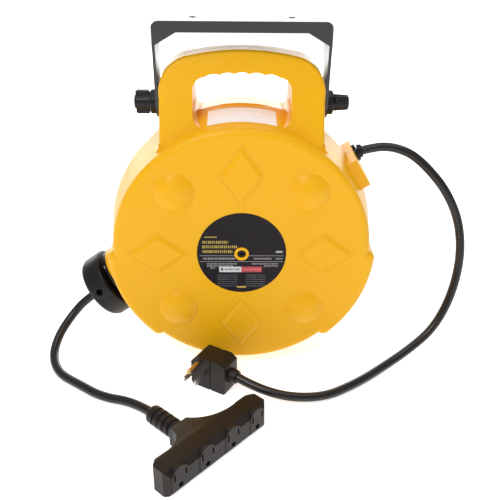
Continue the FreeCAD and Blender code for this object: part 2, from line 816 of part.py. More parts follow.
def bracket():
    wide, steel = mm.bracket_half, mm.bracket_steel
    rise = mm.bracket_rise
    deep = mm.bracket_depth
    end = float(mm.arm_end)
    face = [(-wide, -20), (wide, -20), (wide, rise), (-wide, rise)]
    outer = padded("bracket_outer", "XZ_Plane", [face], deep, -(deep / 2))
    outer.Placement = Placement(PIVOT, Rotation())

    def top_corner(edge):
        limits = edge.BoundBox
        return limits.YLength > 30 and limits.ZMin > 60

    rounded(outer, 6, top_corner)
    drop = mm.flange_drop
    gap = wide - steel
    space = [(-gap, -30), (gap, -30), (gap, rise - steel), (-gap, rise - steel)]
    inner = padded("bracket_inner", "XZ_Plane", [space], deep - steel * 2, -(deep / 2 - steel))
    inner.Placement = Placement(PIVOT, Rotation())
    rounded(inner, 3.2, top_corner)
    corner = mm.gusset
    window = [
        (-gap, -30), (gap, -30), (gap, rise - drop - corner * 0.58), (gap - corner, rise - drop),
        (corner - gap, rise - drop), (-gap, rise - drop - corner * 0.58),
    ]
    through = padded("bracket_window", "XZ_Plane", [window], deep + 10, -(deep / 2 + 5))
    through.Placement = Placement(PIVOT, Rotation())
    half = float(deep) / 2
    taper_top = float(rise) - 22
    side = [
        Part.LineSegment(Vector(0, end, 0), Vector(0, half, taper_top)),
        Part.LineSegment(Vector(0, half, taper_top), Vector(0, half, 120)),
        Part.LineSegment(Vector(0, half, 120), Vector(0, -half, 120)),
        Part.LineSegment(Vector(0, -half, 120), Vector(0, -half, taper_top)),
        Part.LineSegment(Vector(0, -half, taper_top), Vector(0, -end, 0)),
        Part.Arc(Vector(0, -end, 0), Vector(0, 0, -end), Vector(0, end, 0)),
    ]
    profile = Part.Face(Part.Wire([edge.toShape() for edge in side]))
    sides = feature("bracket_side", profile.extrude(X * 200), PIVOT - X * 100)
    blank = common("bracket_blank", outer, sides)
    top = PIVOT + Z * float(rise)
    half_gap = float(mm.bracket_spacing) / 2
    spots = [top + Vector(s * half_gap, 0, -10) for s in (-1, 1)]
    holes = [
        cylinder(f"bracket_hole_{i}", mm.bracket_hole, 20, spot, Z) for i, spot in enumerate(spots)
    ]
    holes.append(cylinder("bracket_pivot_hole", mm.pivot_bolt + 0.06, 240, PIVOT - X * 120, X))
    keep("bracket", cut("bracket", blank, inner, through, *holes))


def pivots():
    wide = float(mm.bracket_half)
    inner = wide - float(mm.bracket_steel)
    cheek = float(mm.handle_half)
    head, end = cheek - 3.0, wide + 17
    shank = mm.pivot_bolt
    bolts, washers = [], []
    for tag, side, roll in (("left", -1, 0), ("right", 1, 60)):
        direction = X * side
        ring = tube(10.5, shank + 0.05, cheek, inner - 0.1)
        washers.append(turned("washer_" + tag, ring, PIVOT, direction))
        profile = [(0, head - 4.5), (7.5, head - 4.5), (7.5, head), (shank, head), (shank, end), (0, end)]
        bolts.append(turned("bolt_" + tag, profile, PIVOT, direction))
        knob(tag, direction, wide + 0.15, roll)
    keep("pivot_washers", group("pivot_washers", *washers))
    keep("pivot_bolts", group("pivot_bolts", *bolts))


def knob(tag, direction, start, roll):
    """A wing knob: a round flange, a hub and two wings, with a threaded insert."""
    name = "knob_" + tag
    long = float(mm.knob_length)
    bore = mm.pivot_bolt + 0.05
    flange = mm.knob_flange
    base = PIVOT + direction * start
    profile = [(6.6, 0), (flange, 0), (flange, 4.8), (flange - 0.9, 5.8), (8.2, 5.8),
               (7.2, long - 1.2), (6.2, long), (0, long), (0, 17.6), (bore, 17.6), (bore, 9.5),
               (6.6, 9.5)]
    pieces = [turned(name + "_core", profile, base, direction)]
    for i, s in enumerate((-1, 1)):
        corners = [(s * 6.9, 6), (s * 11.2, 7.2), (s * 11.2, long - 2.4), (s * 9.8, long - 0.9),
                   (s * 6.9, long - 1.3)]
        wing = padded(f"{name}_wing_{i}", "XY_Plane", [corners], 6.4, -3.2)
        wing.Placement = Placement(base, Rotation(Y, direction) * Rotation(Y, 90 + roll))
        rounded(wing, 1.1, long_edge)
        pieces.append(wing)
    keep(name, fuse(name, *pieces))
    keep("insert_" + tag, turned("insert_" + tag, tube(6.55, bore, 0.2, 9.4), base, direction))


def long_edge(edge):
    """An edge of a wing that is away from the hub."""
    return abs(edge.CenterOfMass.x) > 8 and edge.Length > 1.5


# ---- cords --------------------------------------------------------------------------------------

def route_wire(points):
    """Straight runs joined by tangent arcs, each arc as large as its two runs allow."""
    points = [Vector(*point) for point in points]
    edges, radii = [], []
    here = points[0]
    for before, corner, after in zip(points, points[1:], points[2:]):
        towards = (before - corner).normalize()
        away = (after - corner).normalize()
        run = min((before - corner).Length, (after - corner).Length)
        turn = math.pi - towards.getAngle(away)
        trim = 0.45 * run
        radius = trim / math.tan(turn / 2)
        radii.append(radius)
        first, last = corner + towards * trim, corner + away * trim
        centre_line = (towards + away).normalize()
        centre = corner + centre_line * (radius / math.cos(turn / 2))
        middle = centre - centre_line * radius
        edges.append(Part.LineSegment(here, first).toShape())
        edges.append(Part.Arc(first, middle, last).toShape())
        here = last
    edges.append(Part.LineSegment(here, points[-1]).toShape())
    return Part.Wire(edges), radii


def cord(name, points, radius=mm.cord_radius):
    points = [tuple(point) for point in points]
    wire, radii = route_wire(points)
    start, onward = Vector(*points[0]), Vector(*points[1]) - Vector(*points[0])
    radius = float(size(radius))
    ring = Part.Wire([Part.Circle(start, onward, radius).toShape()])
    solid = wire.makePipeShell([ring], True, True)
    share = solid.Volume / (math.pi * radius * radius * wire.Length)
    least = min(radii)
    print(f"{name}: {wire.Length:.0f} mm long, volume share {share:.3f}, least radius {least:.0f}")
    print("  radii", " ".join(f"{r:.0f}" for r in radii))
    if abs(share - 1) > 0.02:
        raise RuntimeError(f"{name}: the tube's volume isn't its section times its length")
    return keep(name, feature(name, solid))


FLOOR_Z = 4.7
TAP_TURN = 46.7
TAP_CENTRE = Vector(-26.9, -188.1, 0)
NECK_X = -8.0
BOOT_END = 72.0
BOOT_Z = 9.3
PLUG_TURN = -31.0
PLUG_CENTRE = Vector(-27.5, -88.5, 0)
PLUG_Z = 18.0
PIN_X, PIN_Z = -10.0, 18.0


def in_tap(x, y, z):
    return TAP_CENTRE + Rotation(Z, TAP_TURN).multVec(Vector(x, y, z))


def in_plug(x, y, z):
    return PLUG_CENTRE + Rotation(Z, PLUG_TURN).multVec(Vector(x, y, z))


def output_route():
    start = [on_exit(COLLAR_END), on_exit(187)]
    middle = [(-186.7, -9.0, 29.7), (-198.5, -29.2, 16.0), (-199.2, -55.1, 7.9),
              (-187.4, -79.2, FLOOR_Z), (-164.2, -95.9, 4.8), (-137.6, -115.7, FLOOR_Z)]
    return start + middle + [in_tap(NECK_X, 98, 7.2), in_tap(NECK_X, BOOT_END, BOOT_Z)]


def lead_route():
    start = [LEAD_START, LEAD_START + LEAD_OUT * 11.55]
    middle = [(144.2, 15.6, 218.3), (159.0, 12.8, 217.1), (174.9, 8.3, 211.1),
              (191.8, 1.4, 196.8), (208.7, -3.9, 177.5), (223.9, -6.6, 149.3),
              (229.8, -13.5, 119.8), (229.0, -19.7, 89.9), (221.0, -28.0, 58.0),
              (204.9, -37.8, 30.3), (180.3, -49.0, 13.4), (150.0, -68.0, FLOOR_Z),
              (115.9, -96.6, FLOOR_Z), (76.5, -121.1, 5.9)]
    return start + middle + [in_plug(62, 0, 11), in_plug(28, 0, PLUG_Z)]


def lead_inner_route():
    """From the grommet, past the spool's flanges, to the brush holder."""
    stations = [(float(mm.block_reach) + 1, GROMMET_Y, GROMMET_RISE), (124, GROMMET_Y, GROMMET_RISE),
                (113, 6, 3), (111, -14, 2), (109, -33, 1), (98, -46, 0), (78, -50, 0), (58, -50.4, 0),
                (39.1, -50.4, 0)]
    return [on_block(*station) for station in stations]


def cord_inner_route():
    """From the winding's tangent, between the rollers, to the collar's mouth."""
    along = 112.0
    offset = float(mm.cord_offset)
    tangent = float(mm.winding_radius) + 5.0
    reach = math.hypot(along, offset)
    angle = 216 - math.degrees(math.atan2(offset, along) + math.acos(tangent / reach))
    return [on_exit(COLLAR_END), on_exit(along), polar(tangent, angle)]


def grommet():
    """A flanged bush in the block, with a slanted nose that turns the lead level."""
    bore, wide = mm.cord_radius + 0.02, 5.6
    flange = [(wide, -6), (8, -6), (8, -3), (6.45, -3), (6.45, 0), (9, 0), (9, 3), (wide, 3)]
    bush = turned("grommet_bush", flange, GROMMET, BLOCK_OUT)
    nose = turned("grommet_nose", [(bore, 0), (7.4, 0), (6.5, 4.6), (bore, 4.6)], LEAD_START, LEAD_OUT)
    blank = fuse("grommet_blank", bush, nose)
    way = cylinder("grommet_way", bore, 12, LEAD_START - LEAD_OUT * 2, LEAD_OUT)
    keep("lead_grommet", cut("lead_grommet", blank, way))


def cord_stop():
    """The rubber bumper on the cord: two halves screwed together round it."""
    wide, thick = mm.stop_radius, mm.stop_thick
    bore = mm.cord_radius + 0.02
    profile = [(bore, 0), (wide - 3, 0), (wide - 0.8, 1), (wide, 3), (wide, thick - 5),
               (wide - 1.6, thick - 1.8), (wide - 5, thick), (bore, thick)]
    spots = [(on_exit(STOP_START + float(thick) / 2, side * 9), side) for side in (-1, 1)]
    for tag, side in (("front", -1), ("rear", 1)):
        whole = turned(f"stop_{tag}_blank", profile, FOOT + OUT * STOP_START, OUT)
        half = box(f"stop_{tag}_half", (520, 60, 520), HUB + Y * side * 30.05)
        part = common(f"stop_{tag}_part", whole, half)
        tools = [
            cylinder(f"stop_{tag}_bore_{i}", 1.8, 60, spot - Y * face * 14.5, Y * face)
            for i, (spot, face) in enumerate(spots)
        ]
        tools += [
            cylinder(f"stop_{tag}_sink_{i}", 3.6, 30, spot + Y * face * 18, Y * face)
            for i, (spot, face) in enumerate(spots)
            if face == side
        ]
        keep(f"cord_stop_{tag}", cut(f"cord_stop_{tag}", part, *tools))
    shank = [(0, -14), (1.75, -14), (1.75, 18), (3.4, 18), (3.4, 20), (0, 20)]
    screws = [turned(f"stop_screw_{i}", shank, spot, Y * face) for i, (spot, face) in enumerate(spots)]
    keep("cord_stop_screws", group("cord_stop_screws", *screws))


def tap_plan():
    """The tap seen from above: a long bar with a neck that flares out of its back."""
    long, thick = float(mm.tap_length) / 2, float(mm.tap_thick) / 2
    out = thick + 24
    bar = [(-38 + NECK_X, thick), (7 - long, thick), (-long, thick - 6), (-long, 5 - thick),
           (5 - long, -thick), (long - 5, -thick), (long, 5 - thick), (long, thick - 6),
           (long - 7, thick), (52 + NECK_X, thick)]
    corners = [Vector(u, v, 0) for u, v in bar]
    edges = [Part.LineSegment(here, there) for here, there in zip(corners, corners[1:])]
    right, left = Vector(NECK_X + 10.5, out, 0), Vector(NECK_X - 10.5, out, 0)
    edges.append(Part.Arc(corners[-1], Vector(NECK_X + 20.5, thick + 8.5, 0), right))
    edges.append(Part.LineSegment(right, left))
    edges.append(Part.Arc(left, Vector(NECK_X - 17, thick + 7, 0), corners[0]))
    return Part.Face(Part.Wire([edge.toShape() for edge in edges]))


def outlet_pad(index):
    """The round-topped face of one outlet, which stands a little proud of the bar."""
    x, y = (index - 1.5) * float(mm.outlet_pitch), -float(mm.tap_thick) / 2 - 0.5
    low_left, left, top, right, low_right = [
        Vector(x + u, y, v) for u, v in ((-9.5, 3), (-9.5, 18), (0, 27.5), (9.5, 18), (9.5, 3))
    ]
    edges = [
        Part.LineSegment(low_left, left),
        Part.Arc(left, top, right),
        Part.LineSegment(right, low_right),
        Part.LineSegment(low_right, low_left),
    ]
    wire = Part.Wire([edge.toShape() for edge in edges])
    return feature(f"outlet_pad_{index}", Part.Face(wire).extrude(Y * 4.5))


def tap():
    """The four-outlet tap: a bar with a neck and a ribbed boot, moulded in one."""
    thick, tall = float(mm.tap_thick) / 2, float(mm.tap_tall)
    out = thick + 24
    prism = feature("tap_plan", tap_plan().extrude(Z * tall))
    section = [(-thick, 2.5), (2 - thick, 0), (out + 1, 0), (out + 1, 19), (thick + 4, tall - 2.5),
               (thick - 4, tall), (4.5 - thick, tall), (-thick, tall - 6.5)]
    side = padded("tap_side", "YZ_Plane", [section], mm.tap_length + 4, -(mm.tap_length / 2 + 2))
    bar = common("tap_bar", prism, side)
    boot = [(0, out - 6), (9.2, out - 6)]
    for step in range(4):
        base = out + 4 + step * 7.2
        boot += [(9.2, base), (7.8, base + 0.6), (7.8, base + 2.2), (9.2, base + 2.8)]
    boot += [(9.0, BOOT_END - 2), (7.6, BOOT_END), (0, BOOT_END)]
    sleeve = turned("tap_boot", boot, Vector(NECK_X, 0, BOOT_Z), Y)
    solid = fuse("tap_solid", bar, sleeve, *[outlet_pad(i) for i in range(4)])
    slots, contacts = [], []
    for i in range(4):
        x = (i - 1.5) * float(mm.outlet_pitch)
        for tag, dx, high in (("left", -6.35, 8.0), ("right", 6.35, 6.6)):
            slots.append(box(f"slot_{tag}_{i}", (1.7, 18, high), Vector(x + dx, -thick + 6, 18.4)))
            strip = (1.6, 4, high - 0.1)
            contacts.append(box(f"contact_{tag}_{i}", strip, Vector(x + dx, -thick + 12, 18.4)))
        slots.append(cylinder(f"slot_ground_{i}", 2.5, 18, Vector(x, -thick - 3, 7.4), Y))
        contacts.append(cylinder(f"contact_ground_{i}", 2.45, 4, Vector(x, -thick + 10, 7.4), Y))
    body = cut("tap_body", solid, *slots)
    metal = group("tap_contacts", *contacts)
    for name, item in (("tap_body", body), ("tap_contacts", metal)):
        item.Placement = Placement(TAP_CENTRE, Rotation(Z, TAP_TURN))
        keep(name, item)


def plug():
    """The block-shaped three-pin plug at the lead's end."""
    half, thick, tall = float(mm.plug_length) / 2, mm.plug_thick / 2, mm.plug_tall
    side = [(-half, 3), (3 - half, 0), (half - 2, 0), (half, 2), (half, tall - 4), (half - 6, tall),
            (7 - half, tall), (-half, tall - 8)]
    block = padded("plug_block", "XZ_Plane", [side], mm.plug_thick, -thick)
    sleeve = [(0, half - 2), (7.6, half - 2), (7.6, half + 3), (6.4, 28), (0, 28)]
    boot = turned("plug_boot", sleeve, Vector(0, 0, PLUG_Z), X)
    tools = [
        box(f"plug_groove_{i}", (1.6, 1.6, 60), Vector(3, s * float(thick), 18))
        for i, s in enumerate((-1, 1))
    ]
    blades = []
    for i, across in enumerate((-6.35, 6.35)):
        size_of_blade, spot = (1.5, 21.5, 6.3), Vector(PIN_X + across, -thick - 6.75, PIN_Z)
        blades.append(box(f"blade_{i}", size_of_blade, spot))
        tools.append(box(f"blade_seat_{i}", size_of_blade, spot))
    thick = float(thick)
    pin = [(0, thick - 4), (2.4, thick - 4), (2.4, thick + 17.5), (1.4, thick + 20), (0, thick + 20.5)]
    earth_level = Vector(PIN_X, 0, PIN_Z + 11.9)
    earth = turned("ground_pin", pin, earth_level, -Y)
    tools.append(cylinder("ground_seat", 2.4, 4, earth_level - Y * thick, Y))
    body = cut("plug_body", fuse("plug_solid", block, boot), *tools)
    metal = group("plug_blades", *blades)
    for name, item in (("plug_body", body), ("plug_blades", metal), ("plug_ground_pin", earth)):
        item.Placement = Placement(PLUG_CENTRE, Rotation(Z, PLUG_TURN)) * item.Placement
        keep(name, item)


# ---- assembly -----------------------------------------------------------------------------------

shell("front_shell", -1)
shell("rear_shell", 1)
labels()
housing_fasteners()
guide()
spool()
spring_motor()
pawl()
brushes()
bracket()
pivots()
grommet()
cord_stop()
tap()
plug()
cord("output_cord", output_route())
cord("lead_cord", lead_route())
cord("cord_inner_run", cord_inner_route())
cord("lead_inner_run", lead_inner_route(), 3.4)
doc.recompute()

for item in doc.Objects:
    if "Invalid" in item.State or "Error" in item.State:
        raise RuntimeError(f"{item.Name} failed: {item.State}")

os.makedirs("parts", exist_ok=True)
for name, item in parts.items():
    shape = item.Shape
    if shape.isNull() or not shape.isValid():
        raise RuntimeError(f"{name} has no valid shape")
    shape.exportStep(f"parts/{name}.step")
print(len(parts), "sub-parts written")
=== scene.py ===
"""Finish of a packed cord reel: its cords, mouldings, label, metalwork and a plain stage."""

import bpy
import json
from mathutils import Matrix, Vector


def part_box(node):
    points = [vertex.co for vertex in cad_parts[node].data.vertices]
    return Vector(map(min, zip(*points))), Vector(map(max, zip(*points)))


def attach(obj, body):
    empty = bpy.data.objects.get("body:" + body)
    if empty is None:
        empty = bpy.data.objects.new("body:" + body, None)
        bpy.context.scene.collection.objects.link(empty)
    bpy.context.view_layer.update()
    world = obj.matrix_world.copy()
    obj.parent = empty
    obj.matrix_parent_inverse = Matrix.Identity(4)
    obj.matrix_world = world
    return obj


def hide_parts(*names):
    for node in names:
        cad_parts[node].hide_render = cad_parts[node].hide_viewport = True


bl_info = {
    "name": "Cord Reel Finish",
    "version": (1, 0, 0),
    "blender": (4, 5, 0),
    "location": "3D View > Sidebar > Cord Reel",
    "description": "Gives a packed cord reel its cords, mouldings, label, metalwork and stage",
    "category": "Object",
}

import json
import math

import bmesh
import bpy
from mathutils import Matrix, Vector

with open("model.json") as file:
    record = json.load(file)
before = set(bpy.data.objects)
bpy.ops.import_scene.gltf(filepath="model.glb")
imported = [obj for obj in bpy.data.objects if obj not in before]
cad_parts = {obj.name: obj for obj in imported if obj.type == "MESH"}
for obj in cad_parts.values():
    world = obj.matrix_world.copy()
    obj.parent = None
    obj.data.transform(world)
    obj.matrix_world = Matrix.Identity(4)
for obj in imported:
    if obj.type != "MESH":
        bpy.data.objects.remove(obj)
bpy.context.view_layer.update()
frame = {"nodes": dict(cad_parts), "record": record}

MILLIMETRES = 1000.0        # in a metre
HUB_HEIGHT = 0.1335         # of the spool's axis above the floor
SMOOTH_ANGLE = 32.0         # degrees; a steeper edge stays sharp

# ---- shader arithmetic ------------------------------------------------------------------------

class Value:
    """A shader socket that takes part in ordinary arithmetic."""

    def __init__(self, graph, socket):
        self.graph = graph
        self.socket = socket

    def math(self, operation, *others):
        sockets = dict(enumerate((self,) + others))
        return self.graph.add("ShaderNodeMath", {"operation": operation}, sockets)

    def __add__(self, other):
        return self.math("ADD", other)

    def __sub__(self, other):
        return self.math("SUBTRACT", other)

    def __mul__(self, other):
        return self.math("MULTIPLY", other)

    def __truediv__(self, other):
        return self.math("DIVIDE", other)

    def __lt__(self, other):
        return self.math("LESS_THAN", other)

    def __gt__(self, other):
        return self.math("GREATER_THAN", other)

    def __abs__(self):
        return self.math("ABSOLUTE")

    def __rsub__(self, other):
        return self.graph.add("ShaderNodeMath", {"operation": "SUBTRACT"}, {0: other, 1: self})

    __radd__ = __add__
    __rmul__ = __mul__

    def within(self, centre, half, soft):
        """One inside centre plus or minus half, fading to nought over a soft edge."""
        sockets = {
            "Value": abs(self - centre), "From Min": half - soft, "From Max": half + soft,
            "To Min": 1.0, "To Max": 0.0,
        }
        settings = {"clamp": True, "interpolation_type": "SMOOTHSTEP"}
        return self.graph.add("ShaderNodeMapRange", settings, sockets)


def total(values):
    """The sum of several shader values."""
    result, *rest = values
    for value in rest:
        result = result + value
    return result


class Finish:
    """One material and the nodes that make it."""

    def __init__(self, name):
        self.material = bpy.data.materials.new(name)
        self.material.use_nodes = True
        self.nodes = self.material.node_tree.nodes
        self.links = self.material.node_tree.links
        self.nodes.clear()
        output = self.nodes.new("ShaderNodeOutputMaterial")
        self.shader = self.nodes.new("ShaderNodeBsdfPrincipled")
        self.links.new(self.shader.outputs[0], output.inputs["Surface"])
        self.point = self.add("ShaderNodeTexCoord", {}, {}, "Object")

    def feed(self, socket, value):
        """Links a value to a socket, or sets a plain number or colour on it."""
        if isinstance(value, Value):
            self.links.new(value.socket, socket)
        else:
            socket.default_value = value

    def add(self, kind, settings, sockets, output=0):
        """Adds a node, sets it up, feeds its sockets and gives back one of its outputs."""
        node = self.nodes.new(kind)
        for key, value in settings.items():
            setattr(node, key, value)
        for key, value in sockets.items():
            self.feed(node.inputs[key], value)
        return Value(self, node.outputs[output])

    def noise(self, scale, detail=2.0, rough=0.5, place=None):
        """Cloudy noise, nought to one; scale is about its blotches to a unit of place."""
        sockets = {
            "Vector": place or self.point, "Scale": scale, "Detail": detail, "Roughness": rough,
        }
        return self.add("ShaderNodeTexNoise", {}, sockets, "Fac")

    def stretched(self, sizes, centre=(0.0, 0.0, 0.0)):
        """Object coordinates scaled and then moved by centre."""
        sockets = {"Vector": self.point, "Location": centre, "Scale": sizes}
        return self.add("ShaderNodeMapping", {"vector_type": "POINT"}, sockets)

    def axes(self, place=None):
        """The three coordinates of a point."""
        node = self.add("ShaderNodeSeparateXYZ", {}, {0: place or self.point}).socket.node
        return [Value(self, output) for output in node.outputs]

    def between(self, factor, low, high):
        """Maps a factor of nought to one onto a range."""
        return factor * (high - low) + low

    def colour(self, factor, first, second):
        """Mixes two colours by a factor."""
        node = self.nodes.new("ShaderNodeMix")
        node.data_type = "RGBA"
        self.feed(node.inputs[0], factor)
        for socket, value in ((node.inputs[6], first), (node.inputs[7], second)):
            self.feed(socket, value if isinstance(value, Value) else (*value, 1.0))
        return Value(self, node.outputs[2])

    def bump(self, height, depth, strength, under=None):
        """A relief of a depth in metres, over another relief where one is given."""
        sockets = {"Height": height, "Distance": depth, "Strength": strength}
        if under is not None:
            sockets["Normal"] = under
        return self.add("ShaderNodeBump", {}, sockets, "Normal")

    def done(self, **values):
        """Feeds the shader, with a word such as base_color for each socket."""
        for word, value in values.items():
            name = word.replace("_", " ").title().replace("Ior", "IOR")
            if isinstance(value, tuple):
                value = (*value, 1.0)
            self.feed(self.shader.inputs[name], value)
        return self.material


# ---- finishes ---------------------------------------------------------------------------------

SEAM = (0.0003, 0.00015)    # half width and soft edge of the line where the shells meet
FOOT = (0.05, 0.035)        # height and soft edge of the lower part, darkened in blotches
FACE_FROM = 0.05            # a shell's face lies further than this from the joint plane
# Raised diamonds, in mm: across and up from the hub, half width and half height
DIAMONDS = ((0, 81, 22, 30.5), (0, -81, 22, 30.5), (81, 0, 30.5, 22), (-81, 0, 30.5, 22))
# Painted shade in the creases round the diamonds: the line it lies on, then its colour
DIAMOND_SHADE_LINE = (1.0, 0.02, 0.022)       # centre, half width and soft edge, in parts of its reach
DIAMOND_PAINTED_SHADE = (0.5, 0.22, 0.003)
SEAM_SHADE = (0.16, 0.08, 0.005)


def housing_yellow(colour):
    """Satin moulding with a fine grain, a blotchy roughness, blotches darkened towards the bottom,
    a dark seam and painted shade in the creases round the diamonds.
    """
    f = Finish("housing_yellow")
    broad = f.noise(scale=9.0)
    grain = f.noise(scale=1500.0, rough=0.6)
    mottle = f.noise(scale=55.0, detail=5.0, rough=0.65)
    x, y, z = f.axes()
    seam = y.within(0.0, *SEAM)
    foot = z.within(0.0, *FOOT) * mottle
    across, up = x * MILLIMETRES, z * MILLIMETRES - HUB_HEIGHT * MILLIMETRES
    # painted shade along the creases at the diamonds' edges, kept to the two faces
    lines = total(
        (abs(across - u) / wide + abs(up - v) / tall).within(*DIAMOND_SHADE_LINE)
        for u, v, wide, tall in DIAMONDS
    )
    faces = (y < -FACE_FROM) + (y > FACE_FROM)
    deep = tuple(part * 0.82 for part in colour)
    orange = (colour[0] * 1.03, colour[1] * 0.93, colour[2])
    tone = f.colour(f.between(broad, low=0.0, high=0.55), colour, orange)
    # darker in blotches towards the bottom
    tone = f.colour(foot * 0.35, tone, deep)
    # the painted crease shade round the diamonds
    tone = f.colour(lines * faces * 0.3, tone, DIAMOND_PAINTED_SHADE)
    tone = f.colour(seam * 0.75, tone, SEAM_SHADE)
    relief = f.bump(grain, depth=0.00006, strength=0.5)
    return f.done(
        base_color=tone, roughness=f.between(mottle, low=0.3, high=0.44),
        normal=f.bump(1 - seam, depth=0.0003, strength=0.8, under=relief),
        specular_ior_level=0.26)


def moulded(name, colour, warm, rough):
    """A dark moulded plastic or rubber with a fine spark-eroded grain."""
    f = Finish(name)
    broad = f.noise(scale=28.0, detail=3.0)
    grain = f.noise(scale=900.0, detail=3.0, rough=0.6)
    rub = f.noise(scale=140.0, detail=4.0, rough=0.7)
    return f.done(
        base_color=f.colour(broad, colour, warm),
        roughness=f.between(rub, low=rough - 0.07, high=rough + 0.09),
        normal=f.bump(grain, depth=0.00005, strength=0.6), specular_ior_level=0.3)


def jacket():
    """The cords' glossy jacket: faint die lines along it and a little waviness."""
    f = Finish("cord_jacket")
    u, v, _ = f.axes(f.add("ShaderNodeTexCoord", {}, {}, "UV"))
    drawn = f.add("ShaderNodeCombineXYZ", {}, {0: u * 3.0, 1: v * 60.0})
    lines = f.noise(scale=1.0, place=drawn)
    dull = f.noise(scale=60.0, detail=3.0)
    return f.done(
        base_color=f.colour(dull, (0.007, 0.006, 0.006), (0.013, 0.011, 0.010)),
        roughness=f.between(dull, low=0.22, high=0.36),
        normal=f.bump(lines, depth=0.00008, strength=0.35), specular_ior_level=0.45)


def bracket_paint():
    """Black enamel on steel: a slight orange peel and a film of dust."""
    f = Finish("bracket_paint")
    peel = f.noise(scale=420.0, rough=0.45)
    dust = f.noise(scale=38.0, detail=4.0, rough=0.6)
    return f.done(
        base_color=f.colour(dust, (0.012, 0.012, 0.013), (0.02, 0.02, 0.021)),
        roughness=f.between(dust, low=0.27, high=0.38),
        normal=f.bump(peel, depth=0.00007, strength=0.4), specular_ior_level=0.5,
        coat_weight=0.3, coat_roughness=0.22)


def bare_metal(name, colour, rough, across):
    """Drawn or turned metal; across gives how closely its fine lines lie along each axis."""
    f = Finish(name)
    lines = f.noise(scale=1.0, detail=3.0, rough=0.6, place=f.stretched(across))
    stain = f.noise(scale=120.0, detail=3.0)
    return f.done(
        base_color=f.colour(stain, colour, tuple(part * 0.8 for part in colour)), metallic=1.0,
        roughness=f.between(lines, low=rough - 0.06, high=rough + 0.12),
        normal=f.bump(lines, depth=0.00002, strength=0.3))


def nylon():
    """Natural nylon, slightly cloudy."""
    f = Finish("nylon")
    grain = f.noise(scale=600.0, detail=3.0)
    return f.done(
        base_color=f.colour(grain, (0.74, 0.73, 0.68), (0.8, 0.79, 0.75)),
        roughness=f.between(grain, low=0.38, high=0.5),
        normal=f.bump(grain, depth=0.00003, strength=0.4))


PRINT_EDGE = 0.12           # mm; how softly the print ends
PALE, WARM, RED = (0.66, 0.64, 0.65), (0.60, 0.44, 0.09), (0.50, 0.07, 0.08)
GREY, INK = (0.60, 0.60, 0.62), (0.02, 0.015, 0.02)
BLUSH, SLATE = (0.8, 0.4, 0.4), (0.5, 0.52, 0.58)
SMALL_PRINT = tuple(
    (left, left + 20, -24.0 - 2.5 * row, 1.0, 1.5, 0.8, seed + row)
    for row in range(6) for left, seed in ((-24, 20), (4, 30))
)
# The print in layers: its strength, its colour, solid bars and rows of strokes, in mm from the
# middle of the label. A bar is (left, right, low, high). A row is (left, right, level, height,
# pitch, the most of the pitch that a stroke fills, seed).
PRINT = (
    (0.6, PALE, ((-41, 41, -2.4, -2.0), (-41, 41, -8.9, -8.5)), ()),
    (0.8, WARM, ((-36, -24, 17.6, 18.6),), ()),
    (0.8, WARM, (), (
        (-38, -13, 12.6, 3.0, 1.9, 0.72, 1), (-39, -4, 7.6, 3.0, 1.9, 0.72, 2),
        (-39, -9, 2.4, 3.0, 1.9, 0.72, 3),
    )),
    (0.6, PALE, ((33.5, 40, 1.0, 3.2),), (
        (-38, -6, -5.4, 2.2, 1.5, 0.6, 4), (12, 30, -5.4, 1.8, 1.5, 0.6, 5),
        (33, 40, -5.4, 1.8, 1.4, 0.6, 6), (-34, -4, -11.2, 1.5, 1.3, 0.6, 18.2),
        (-34, -8, -13.6, 1.5, 1.3, 0.6, 20.6), (-31, -26, -16.0, 1.5, 1.3, 0.6, 23.0),
        (-23, -17, -16.0, 1.5, 1.3, 0.6, 23.0), (10, 36, -11.2, 1.5, 1.3, 0.6, 40),
        (22, 36, -13.6, 1.5, 1.3, 0.6, 41),
    )),
    (1.0, GREY, ((-22, 0, -20.6, -14.4),), ()),
    (1.0, RED, ((0, 20, -20.6, -14.4),), ()),
    (0.8, INK, (), ((-17, -2, -17.5, 2.0, 1.5, 0.7, 10),)),
    (0.8, INK, ((-20.5, -18, -19.0, -16.0),), ()),
    (0.45, BLUSH, (), ((2, 19, -17.5, 1.6, 1.5, 0.7, 11),)),
    (0.22, SLATE, (), SMALL_PRINT),
    (0.8, WARM, ((-4.5, 4.5, -38.6, -36.6),), ()),
)


def printed_label():
    """A black foil label: bars, strokes and two blocks of colour that stand for its print."""
    f = Finish("printed_label")
    to_middle = (0.0, 0.0, -HUB_HEIGHT * MILLIMETRES)
    x, _, z = f.axes(f.stretched((MILLIMETRES,) * 3, centre=to_middle))

    def bar(left, right, low, high):
        across = x.within((left + right) / 2, (right - left) / 2, PRINT_EDGE)
        return across * z.within((low + high) / 2, (high - low) / 2, PRINT_EDGE)

    def strokes(left, right, level, tall, pitch, share, seed):
        """A row of plain strokes of uneven length."""
        cell = f.add("ShaderNodeCombineXYZ", {}, {0: (x / pitch).math("FLOOR"), 1: seed})
        flat = {"noise_dimensions": "2D"}
        odd = f.add("ShaderNodeTexWhiteNoise", flat, {"Vector": cell}, "Value")
        stroke = (x / pitch).math("FRACT") < f.between(odd, low=share * 0.6, high=share)
        return bar(left, right, level - tall / 2, level + tall / 2) * stroke

    tone = f.colour(f.noise(scale=70.0), (0.005, 0.0028, 0.005), (0.010, 0.006, 0.010))
    for strength, ink, bars, rows in PRINT:
        mask = total([bar(*place) for place in bars] + [strokes(*row) for row in rows])
        tone = f.colour(mask * strength, tone, ink)
    wear = f.noise(scale=900.0)
    return f.done(
        base_color=tone, roughness=f.between(wear, low=0.3, high=0.4),
        normal=f.bump(wear, depth=0.00002, strength=0.3), specular_ior_level=0.2)


# Faint rules on the paper label, in mm: where each lies from front to back, half its thickness
# and its soft edge, then the centre, half length and soft end of them all
RULE_LEVELS = (-14.0, -16.5, -19.0, -21.5, -26.0, -28.5)
RULE_THICK = (0.45, 0.15)
RULE_SPAN = (6.0, 21.0, 0.3)


